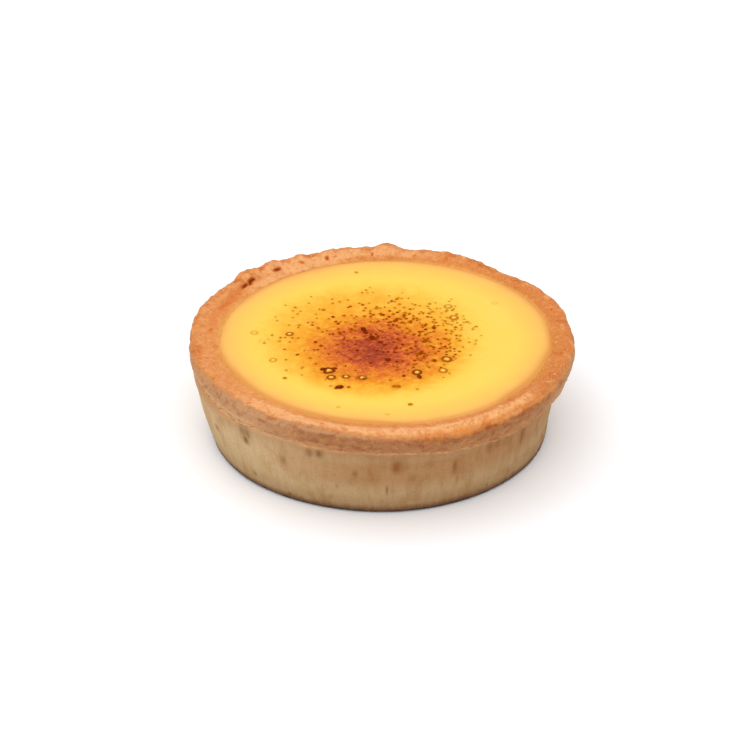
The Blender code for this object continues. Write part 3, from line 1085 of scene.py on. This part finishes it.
    def top_paint(self, spot: Vector, angle: float, along: float) -> tuple[dict[str, float], float]:
        """Paint the collar at a spot.

        Args:
            spot: The spot.
            angle: Its angle in degrees.
            along: Its distance along the outline above the lip, in millimetres.

        Returns:
            What each painted layer says, and how far the marks are sunk in millimetres.
        """
        radius = math.hypot(spot.x, spot.y) / MM
        bent = angle + 0.8 * ripple(spot, 1.6, seed=15.0)
        scorch = strongest(self.scorches, bent, radius)
        notch = strongest(self.notches, bent, radius)
        crevice = self.crevice.cover(angle, radius - self.crease_radius(angle) / MM)
        crevice *= min(max(0.90 + 0.7 * ripple(spot, 1.6, seed=33.0), 0.0), 1.0)
        place = along + ripples(spot, (0.45, 2.6, 0.0, 31.0), (0.25, 1.1, 0.0, 32.0))
        risen = place - 0.5 * self.tone_shift(angle)
        crest = arc_share(angle, 232.0, 314.0, 16.0) * between(risen, 7.4, 9.2, 1.2)
        band = arc_share(angle, 84.0, 134.0, 18.0) * between(place, 8.7, 10.3, 0.8)
        band += arc_share(angle, 112.0, 138.0, 14.0) * between(place, 9.9, 11.8, 0.6)
        left = arc_share(angle, 160.0, 232.0, 18.0) * between(risen, 8.0, 11.0, 1.2)
        inner = arcs(angle, (0.4, 16.0, 70.0, 14.0), (0.6, 286.0, 306.0, 14.0), (0.35, 156.0, 186.0, 12.0))
        washed = 0.45 + 0.5 * near(angle, 270.0, 80.0) + 0.5 * near(angle, 105.0, 75.0)
        paint = {
            "scorch": scorch,
            "toast": min(notch * 0.45, 1.0),
            "groove": min(crevice * 0.9, 1.0),
            "blush": min(crest + 0.9 * band + 0.3 * left, 1.0) * (1.0 - scorch),
            "yellowed": inner * smooth_step(along, 11.2, 12.3),
            "golden": arc_share(angle, 292.0, 326.0, 12.0) * between(place, 5.2, 6.8, 0.8),
            "wash": between(along, 5.2, 12.6, 1.6) * min(washed, 1.0),
        }
        return paint, 0.22 * scorch + 0.40 * notch + 0.15 * crevice

    def flour(self, spot: Vector, angle: float, along: float) -> float:
        """How floury the pastry is along the lip and low on the face.

        Args:
            spot: The spot.
            angle: Its angle in degrees.
            along: Its distance along the outline above the lip, in millimetres.

        Returns:
            The share, from 0 to 1.
        """
        burr = 0.7 + ripples(spot, (0.8, 2.2, 0.0, 9.0), (1.0, 6.0, 0.0, 14.0))
        pale = 0.6 * arc_share(angle, 194.0, 224.0, 14.0) * between(along, 0.6, 3.8, 0.8)
        return min(max(0.6 * bell(along - 0.35, 0.9) * burr, 0.0) + pale, 1.0)

    def dress(self, shell: bmesh.types.BMesh) -> None:
        """Add the fine relief and the marks, and paint what the finish reads.

        Args:
            shell: The case's shell.
        """
        layers = shell.verts.layers.float
        names = "tone hollow toast groove yellowed flour smear rust scorch wash blush golden tan"
        paint = {name: layers.new(name) for name in names.split()}
        run = layers["along"]
        smears = self.smears + self.hidden_marks()
        shell.normal_update()
        moves = []
        for vert in shell.verts:
            spot, along = vert.co, vert[run]
            angle = angle_of(spot) % 360.0
            lift = self.relief(spot, along, angle)
            shift = self.tone_shift(angle) * smooth_step(along, 2.2, 3.6) * (1.0 - smooth_step(along, 7.8, 11.0))
            # painted shade, partly real browning: darker to the right and the front, away from the light
            tan = self.shadiness(angle, along, spot.z / MM)
            # the next layer is painted shade and light following the fine relief: above 0 in its hollows, below 0 on
            # its bumps
            values = {"hollow": -lift / 0.30, "tone": along - shift, "tan": tan}
            if -1.0 < along < 4.8:
                values["flour"] = self.flour(spot, angle, along)
            if -19.0 < along < -0.2:
                found, sunk = self.wall_paint(smears, spot, angle)
            elif 3.0 < along < 13.0:
                found, sunk = self.top_paint(spot, angle, along)
            else:
                found, sunk = {}, 0.0
            for name, value in (values | found).items():
                vert[paint[name]] = value
            moves.append((lift - sunk) * MM)
        for vert, move in zip(shell.verts, moves):
            vert.co += vert.normal * move
            vert.co.z = max(vert.co.z, 0.0)

    def build(self) -> bpy.types.Object:
        """Make the whole case and put it in place of the CAD one.

        Returns:
            The case.
        """
        profile = self.outside() + self.top() + self.inside()
        zero = (self.lip[0] - self.lip_rounding, self.lip[1])
        shell = turned(profile, self.segments, lengths(profile, zero))
        for vert in shell.verts:
            vert.co.x += self.lean(math.hypot(vert.co.x, vert.co.y), vert.co.z)
            self.press(vert.co)
        self.dress(shell)
        piece = finished("pastry_case", shell, BakedPastry().material(), Slot.PASTRY)
        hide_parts("crust")
        return piece


@dataclass(frozen=True)
class Singe:
    """A browned patch round a fleck or a bubble: its place and reach in metres, and its strength."""

    place: Spot
    reach: float
    strength: float


class Singes:
    """All the browned patches of the curd."""

    def __init__(self, patches: list[Singe]) -> None:
        """Sort the patches by place.

        Args:
            patches: The patches.
        """
        self.patches = patches
        self.widest = max(patch.reach for patch in patches)
        self.tree = KDTree(len(patches))
        for number, patch in enumerate(patches):
            self.tree.insert((*patch.place, 0.0), number)
        self.tree.balance()

    def at(self, spot: Vector) -> float:
        """How browned the curd is at a spot, from 0 to 1.

        Args:
            spot: The spot.

        Returns:
            The strongest share.
        """
        found = self.tree.find_range((spot.x, spot.y, 0.0), self.widest)
        patches = [(self.patches[number], away) for _place, number, away in found]
        return max((patch.strength * bell(away, patch.reach) for patch, away in patches), default=0.0)


@dataclass
class LemonCurd:
    """The set curd, level with the collar and run against it all round."""

    radius: float = 38.5 * MM
    level: float = 23.6 * MM
    sag: float = 0.2 * MM
    foot_radius: float = 35.7 * MM
    foot_height: float = 4.3 * MM
    foot_corner: float = 1.7 * MM
    offset: float = 0.85 * MM
    foot_offset: float = -0.65 * MM
    segments: int = 640
    rings: int = 128

    # Radius and height, in millimetres, of where the curd climbs the pastry and meets its own top
    edge = (
        (38.62, 22.4), (39.10, 23.0), (39.15, 23.40), (38.90, 23.49), (38.60, 23.52), (38.30, 23.545),
        (37.95, 23.565),
    )
    top_radius: float = 37.6 * MM

    def profile(self) -> list[Spot]:
        """Profile from the middle of the underside, up the side and over the top to its middle.

        Returns:
            Its (radius, height) points.
        """
        corner = self.foot_corner
        foot = arc((self.foot_radius - corner, self.foot_height + corner), (corner, corner), -90.0, 0.0, 3)
        edge = [(radius * MM, height * MM) for radius, height in self.edge]
        shares = [1.0 - ring / self.rings for ring in range(self.rings + 1)]
        level = self.level - 0.02 * MM
        top = [(self.top_radius * share, level - self.sag * (1.0 - share * share)) for share in shares]
        underside = [(0.0, self.foot_height)] + line((0.0, self.foot_height), foot[0], 3)
        return underside + foot + line(foot[-1], edge[0], 4) + edge + top

    def heat(self, x: float, y: float) -> float:
        """Distance from the middle of the torched patch in curd radii, at a place on the curd.

        Args:
            x: Its place along X.
            y: Its place along Y.

        Returns:
            The distance, which is longer where the curd is less browned.
        """
        u = (x - self.offset) / self.radius
        v = y / self.radius
        core = math.hypot(u + 0.083, (v + 0.147) * 0.94)
        middle = math.hypot(u + 0.060, v + 0.116)
        outer = math.hypot(u + 0.085, v - 0.03)
        distance = part_way(core, middle, smooth_step(middle, 0.10, 0.28))
        distance = part_way(distance, outer, smooth_step(middle, 0.44, 0.74))
        left = near(math.degrees(math.atan2(v + 0.06, u + 0.06)), 158.0, 80.0)
        return distance * (1.0 - 0.045 * left * smooth_step(distance, 0.40, 0.70))

    def edge_shift(self, angle: float) -> float:
        """How much nearer the middle, in curd radii, the curd's edge colour starts at an angle.

        Args:
            angle: The angle in degrees.

        Returns:
            The shift, below 0 where the curd stays yellower.
        """
        browner = arcs(angle, (1.0, 208.0, 264.0, 14.0), (1.0, 320.0, 344.0, 12.0))
        paler = arcs(angle, (0.5, 16.0, 72.0, 12.0), (0.5, 284.0, 304.0, 14.0), (0.5, 84.0, 104.0, 10.0))
        return 0.018 * (browner - paler - 0.7 * arc_share(angle, 160.0, 184.0, 12.0))

    def build(self, singes: Singes) -> bpy.types.Object:
        """Make the curd and put it in place of the CAD one.

        Args:
            singes: Where it is browned round flecks and bubbles.

        Returns:
            The curd.
        """
        profile = self.profile()
        shell = turned(profile, self.segments, [0.0] * len(profile))
        layers = shell.verts.layers.float
        torched, reached, singed = [layers.new(name) for name in ("torched", "reach", "singed")]
        for vert in shell.verts:
            spot = vert.co
            share = min(max((spot.z - self.foot_height) / (self.level - self.foot_height), 0.0), 1.0)
            reach = math.hypot(spot.x, spot.y) / self.radius
            vert[reached] = reach + self.edge_shift(angle_of(spot) % 360.0) * smooth_step(reach, 0.85, 0.95)
            spot.x += part_way(self.foot_offset, self.offset, share)
            vert[torched] = heat = self.heat(spot.x, spot.y)
            if spot.z > 23.0 * MM:
                vert[singed] = singes.at(spot)
                wrinkles = ripples(spot, (0.05, 1.4, 0.0, 1.0), (0.03, 0.8, 0.0, 2.0))
                swell = 0.035 * ripple(spot, 11.0) * (1.0 - smooth_step(vert[reached], 0.93, 0.99))
                spot.z += ((1.0 - smooth_step(heat, 0.10, 0.42)) * wrinkles + swell) * MM
        piece = finished("lemon_curd", shell, SetCurd().material(), Slot.CURD)
        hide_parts("lemon_filling")
        return piece

    def place(self, u: float, v: float) -> Spot:
        """A place on the curd given in curd radii to the right and to the back of its middle."""
        return (self.offset + u * self.radius, v * self.radius)


@dataclass
class Blisters:
    """Bubbles that rose through the curd and scorched round their edges."""

    curd: LemonCurd
    steps: int = 28

    # Place to the right and to the back, and radius, in curd radii; how charred the ring is; how lobed it is
    spots = (
        (-0.583, 0.068, 0.024, 0.75, 0.0), (0.387, 0.414, 0.026, 0.50, 0.0), (0.420, 0.272, 0.028, 0.60, 0.0),
        (0.368, -0.239, 0.034, 0.80, 0.0), (0.343, -0.375, 0.030, 0.60, 0.0), (0.188, -0.397, 0.031, 0.95, 0.0),
        (-0.339, -0.379, 0.034, 1.00, 0.14), (-0.325, -0.460, 0.028, 0.85, 0.0),
        (-0.236, -0.450, 0.024, 0.85, 0.0), (-0.138, -0.463, 0.028, 0.80, 0.0),
        (-0.798, 0.082, 0.024, 0.34, 0.0), (-0.748, -0.025, 0.020, 0.28, 0.0),
        (-0.676, -0.252, 0.024, 0.42, 0.0), (0.675, 0.454, 0.018, 0.22, 0.0),
    )
    # Outline in blister radii, with how charred the skin is there
    outline = (
        (0.00, 0.22, 0.22), (0.22, 0.20, 0.24), (0.38, 0.15, 0.30), (0.52, 0.06, 0.62), (0.64, 0.03, 0.92),
        (0.78, 0.08, 1.00), (0.90, 0.10, 1.00), (1.02, 0.05, 0.85), (1.12, -0.04, 0.60), (1.20, -0.16, 0.40),
        (0.00, -0.20, 0.00),
    )
    skin = Browned(
        "blister_skin",
        (
            (0.0, (238, 194, 88)), (0.2, (236, 186, 86)), (0.36, (212, 150, 46)), (0.6, (180, 104, 20)),
            (1.0, (108, 38, 6)),
        ),
        0.16,
    )

    def singes(self) -> list[Singe]:
        """The browned patches round the bubbles.

        Returns:
            The patches.
        """
        return [
            Singe(self.curd.place(u, v), 2.1 * radius * self.curd.radius, 0.55 * char)
            for u, v, radius, char, _lobes in self.spots
        ]

    def build(self, surface: Surface) -> bpy.types.Object:
        """Make every blister, half sunk in the curd's surface.

        Args:
            surface: The curd's surface.

        Returns:
            The blisters, as one piece.
        """
        pile = Pile()
        for number, (u, v, radius, char, lobes) in enumerate(self.spots):
            x, y = self.curd.place(u, v)
            size = radius * self.curd.radius
            rows = [(out * size, up * size, share * char) for out, up, share in self.outline]
            shell = spun("char", rows, (x, y, surface.below(x, y)[0].z), math.tau, self.steps)
            for vert in shell.verts:
                turn = math.atan2(vert.co.y - y, vert.co.x - x)
                wobble = 1.0 + lobes * math.cos(3.0 * turn + 0.5) + 0.05 * math.sin(2.0 * turn + number)
                vert.co.x = x + (vert.co.x - x) * wobble
                vert.co.y = y + (vert.co.y - y) * wobble
            close(shell)
            pile.add(shell)
        return pile.finished("curd_blisters", self.skin, Slot.CURD)


@dataclass(frozen=True)
class Fleck:
    """A fleck on the curd: place, half width and half length in curd radii, turn in degrees, char."""

    u: float
    v: float
    wide: float
    long: float
    turn: float
    char: float


@dataclass
class Flecks:
    """Burnt flecks on the curd, thick in the torched patch and thinning out round it."""

    curd: LemonCurd
    count: int = 430

    # The larger ones, as a Fleck has its numbers
    large = (
        (-0.131, 0.126, 0.016, 0.034, 12.0, 1.00), (-0.118, 0.089, 0.012, 0.018, 30.0, 0.95),
        (-0.082, 0.024, 0.020, 0.024, 0.0, 0.95), (0.115, 0.303, 0.012, 0.018, 0.0, 0.70),
        (0.297, 0.148, 0.014, 0.020, 0.0, 0.80), (0.039, 0.480, 0.009, 0.012, 0.0, 0.60),
        (-0.273, -0.574, 0.026, 0.020, 15.0, 0.95), (-0.294, -0.588, 0.012, 0.010, 0.0, 0.85),
        (-0.220, -0.574, 0.010, 0.011, 0.0, 0.70), (0.064, -0.565, 0.030, 0.014, 170.0, 0.60),
        (0.215, -0.158, 0.013, 0.030, -15.0, 0.80), (0.241, -0.012, 0.014, 0.026, -30.0, 0.70),
        (0.015, -0.246, 0.018, 0.018, 0.0, 0.95), (0.294, -0.255, 0.016, 0.014, 0.0, 0.80),
        (0.201, -0.450, 0.014, 0.026, 10.0, 0.90), (-0.377, -0.361, 0.018, 0.014, 30.0, 0.95),
        (-0.304, -0.351, 0.016, 0.012, -20.0, 0.90), (-0.601, -0.470, 0.013, 0.012, 0.0, 0.45),
        (0.145, -0.779, 0.016, 0.014, 0.0, 0.45), (-0.180, 0.850, 0.012, 0.012, 0.0, 0.25),
        (0.007, -0.895, 0.014, 0.010, 0.0, 0.05), (-0.280, -0.811, 0.014, 0.010, 0.0, 0.05),
        (-0.526, 0.177, 0.008, 0.012, 0.0, 0.45), (0.112, 0.209, 0.012, 0.012, 0.0, 0.60),
        (-0.594, -0.376, 0.008, 0.008, 0.0, 0.30),
    )
    skin = Browned(
        "burnt_fleck",
        (
            (0.0, (234, 188, 82)), (0.2, (208, 154, 40)), (0.38, (186, 132, 18)), (0.52, (194, 112, 10)),
            (0.75, (154, 66, 4)), (1.0, (112, 34, 6)),
        ),
        0.6,
        0.03,
    )

    def chance(self, u: float, v: float, heat: float) -> float:
        """How likely a small fleck is at a place in curd radii and at its heat.

        Args:
            u: Its place to the right.
            v: Its place to the back.
            heat: Its distance from the middle of the torched patch.

        Returns:
            The chance, from 0 to 1.
        """
        far = math.hypot((u - 0.06) / (1.08 if u > 0.06 else 0.94), (v - 0.04) / (1.0 if v > 0.04 else 0.90))
        chance = 0.70 * (1.0 - smooth_step(far, 0.24, 0.56)) * (0.60 + 0.40 * smooth_step(u, -0.20, 0.15))
        chance *= 0.45 + 0.55 * smooth_step(heat, 0.16, 0.34)
        around = math.hypot((u + 0.08) / 0.85, (v - 0.05) / 0.75)
        return chance + 0.17 * (1.0 - smooth_step(around, 0.50, 0.95)) * smooth_step(heat, 0.20, 0.40)

    def plan(self) -> list[Fleck]:
        """Every fleck, the larger ones first.

        Returns:
            The flecks.
        """
        flecks = [Fleck(*row) for row in self.large]
        dice = random.Random(5)
        while len(flecks) < len(self.large) + self.count:
            u, v = dice.uniform(-0.8, 0.8), dice.uniform(-0.8, 0.8)
            heat = self.curd.heat(*self.curd.place(u, v))
            if dice.random() > self.chance(u, v, heat):
                continue
            size = (0.0052 + 0.0046 * dice.random() ** 1.3) * (1.0 + 0.4 * dice.random() ** 6)
            char = dice.uniform(0.10, 0.42) + 0.62 - 0.18 * smooth_step(heat, 0.08, 0.30)
            char -= 0.44 * smooth_step(heat, 0.42, 0.64)
            flecks.append(Fleck(u, v, size, size * dice.uniform(0.9, 1.2), dice.uniform(-90.0, 90.0), char))
        return flecks

    def singes(self, flecks: list[Fleck]) -> list[Singe]:
        """The browned patches round flecks.

        Args:
            flecks: The flecks.

        Returns:
            The patches.
        """
        return [
            Singe(
                self.curd.place(fleck.u, fleck.v),
                (1.8 * max(fleck.wide, fleck.long) + 0.006) * self.curd.radius,
                min(0.16 + 0.44 * fleck.char, 0.8),
            )
            for fleck in flecks
        ]

    def build(self, flecks: list[Fleck], surface: Surface) -> bpy.types.Object:
        """Make flat lumps for flecks and lay them on the curd's surface.

        Args:
            flecks: The flecks.
            surface: The curd's surface.

        Returns:
            The flecks, as one piece.
        """
        pile = Pile()
        for fleck in flecks:
            point, normal = surface.below(*self.curd.place(fleck.u, fleck.v))
            wide, long = fleck.wide * self.curd.radius, fleck.long * self.curd.radius
            pile.lump(point, normal, Vector((wide, long, 0.60 * min(wide, long))), fleck.turn, fleck.char)
        return pile.finished("burnt_flecks", self.skin, Slot.CURD)


@dataclass
class RimCrumbs:
    """Crumbs baked onto the collar's outer edge, thickest at the front right and the back left."""

    surface: Surface
    count: int = 240

    skin = Browned("crust_crumb", ((0.0, (228, 168, 110)), (0.5, (212, 142, 84)), (1.0, (192, 120, 66))), 0.8, 0.05)

    @staticmethod
    def chance(angle: float) -> float:
        """How likely a crumb is at an angle."""
        return 0.08 + arcs(angle, (0.75, 298.0, 334.0, 14.0), (0.22, 226.0, 298.0, 14.0), (0.40, 116.0, 166.0, 24.0))

    def build(self) -> bpy.types.Object:
        """Make every crumb.

        Returns:
            The crumbs, as one piece.
        """
        pile = Pile()
        dice = random.Random(23)
        laid = 0
        while laid < self.count:
            angle = dice.uniform(0.0, 360.0)
            if dice.random() > self.chance(angle):
                continue
            radius = dice.triangular(41.4, 44.3, 43.5) * MM
            turn = math.radians(angle)
            point, normal = self.surface.below(radius * math.cos(turn), radius * math.sin(turn))
            if point is None:
                continue
            size = dice.uniform(0.13, 0.26) * (1.0 + 0.8 * dice.random() ** 4) * MM
            half = Vector((size, size * dice.uniform(0.7, 1.5), size * dice.uniform(0.5, 0.9)))
            ginger = arc_share(angle, 296.0, 334.0, 12.0)
            char = dice.uniform(0.0, 0.35) + 0.20 * ginger + 0.40 * smooth_step(radius / MM, 43.2, 44.2)
            pile.lump(point - normal * 0.25 * size, normal, half, dice.uniform(0.0, 180.0), char)
            laid += 1
        return pile.finished("rim_crumbs", self.skin, Slot.PASTRY)


@dataclass
class LipFlakes:
    """Thin pale flakes that stand up along the lip under the collar."""

    case: PastryCase
    surface: Surface
    count: int = 340

    skin = Browned("lip_flake", ((0.0, (196, 148, 104)), (0.5, (182, 136, 94)), (1.0, (160, 112, 76))), 0.85)
    torn: float = 281.0  # where the lip is torn and the flakes stand apart

    def build(self) -> bpy.types.Object:
        """Make every flake.

        Returns:
            The flakes, as one piece.
        """
        pile = Pile()
        dice = random.Random(31)
        for number in range(self.count):
            angle = 360.0 * (number + dice.uniform(0.0, 1.0)) / self.count
            if number % 20 == 0:
                angle = dice.gauss(self.torn, 3.0)
            spread = 0.30 + 0.5 * near(angle, self.torn, 10.0)
            height = self.case.lip[1] + self.case.lip_swing(angle) + (0.25 + dice.gauss(0.0, spread)) * MM
            point, normal = self.surface.beside(angle, height)
            if point is None:
                continue
            long = dice.uniform(0.25, 0.90) * MM
            half = Vector((long, dice.uniform(0.10, 0.22) * MM, dice.uniform(0.05, 0.10) * MM))
            pile.lump(point - normal * 0.03 * MM, normal, half, dice.gauss(0.0, 14.0), dice.uniform(0.0, 0.55))
        return pile.finished("lip_flakes", self.skin, Slot.PASTRY)


@dataclass
class Studio:
    """The pale floor, the soft lights and the camera."""

    aim: Vector
    elevation: float = 30.0
    distance: float = 0.9
    lens: float = 184.0
    floor_colour: Colour = (250, 251, 253)

    def floor(self) -> None:
        """Lay the floor just under the tartlet."""
        shell = bmesh.new()
        bmesh.ops.create_grid(shell, x_segments=1, y_segments=1, size=4.0)
        bmesh.ops.translate(shell, verts=shell.verts, vec=(0.0, 0.0, -0.05 * MM))
        mesh = mesh_of("floor", shell)
        mesh.materials.append(Board("pale_floor").finish(self.floor_colour, 0.9, {"IOR": 1.2}))
        stood("floor", mesh)

    def lamp(self, name: str, place: Vector, size: float, power: float, colour: tuple[float, ...]) -> None:
        """Hang a soft square lamp that faces the tartlet.

        Args:
            name: The lamp's name.
            place: Where it hangs.
            size: Its side.
            power: Its power in watts.
            colour: Its colour as linear light.
        """
        data = bpy.data.lights.new(name, "AREA")
        data.shape = "SQUARE"
        data.size = size
        data.energy = power
        data.color = colour
        lamp = stood(name, data)
        lamp.location = place
        lamp.rotation_euler = (self.aim - place).to_track_quat("-Z", "Y").to_euler()

    def light(self) -> None:
        """Hang the lamps and light the room."""
        self.lamp("key", Vector((-0.60, 0.20, 1.0)), 1.5, 3.8, (1.0, 0.99, 0.98))
        self.lamp("fill", Vector((0.0, -1.0, 1.0)), 1.2, 4.2, (1.0, 1.0, 1.0))
        world = bpy.data.worlds.new("room")
        world.use_nodes = True
        room = world.node_tree.nodes["Background"]
        room.inputs["Color"].default_value = (1.0, 1.0, 1.0, 1.0)
        room.inputs["Strength"].default_value = 1.0
        bpy.context.scene.world = world
        bpy.context.scene.view_settings.view_transform = "Standard"

    def camera(self) -> None:
        """Set up the camera in front, looking down on the tartlet."""
        data = bpy.data.cameras.new("camera")
        data.lens = self.lens
        data.sensor_width = 36.0
        data.clip_start = 0.01
        tilt = math.radians(self.elevation)
        camera = stood("camera", data)
        camera.location = self.aim + Vector((0.0, -math.cos(tilt), math.sin(tilt))) * self.distance
        camera.rotation_euler = (math.pi / 2.0 - tilt, 0.0, 0.0)
        bpy.context.scene.camera = camera

    def build(self) -> None:
        """Set up everything round the tartlet."""
        self.floor()
        self.light()
        self.camera()
        log.info("studio ready")


def main() -> None:
    """Build the tartlet and its studio."""
    logging.basicConfig(level=logging.INFO, format="%(name)s: %(message)s")
    case = PastryCase()
    crust = Surface(case.build())
    RimCrumbs(crust).build()
    LipFlakes(case, crust).build()
    curd = LemonCurd()
    blisters = Blisters(curd)
    flecks = Flecks(curd)
    plan = flecks.plan()
    surface = Surface(curd.build(Singes(blisters.singes() + flecks.singes(plan))))
    blisters.build(surface)
    flecks.build(plan, surface)
    Studio(Vector((-1.592 * MM, 0.0, 13.91 * MM))).build()


if __name__ == "__main__":
    main()
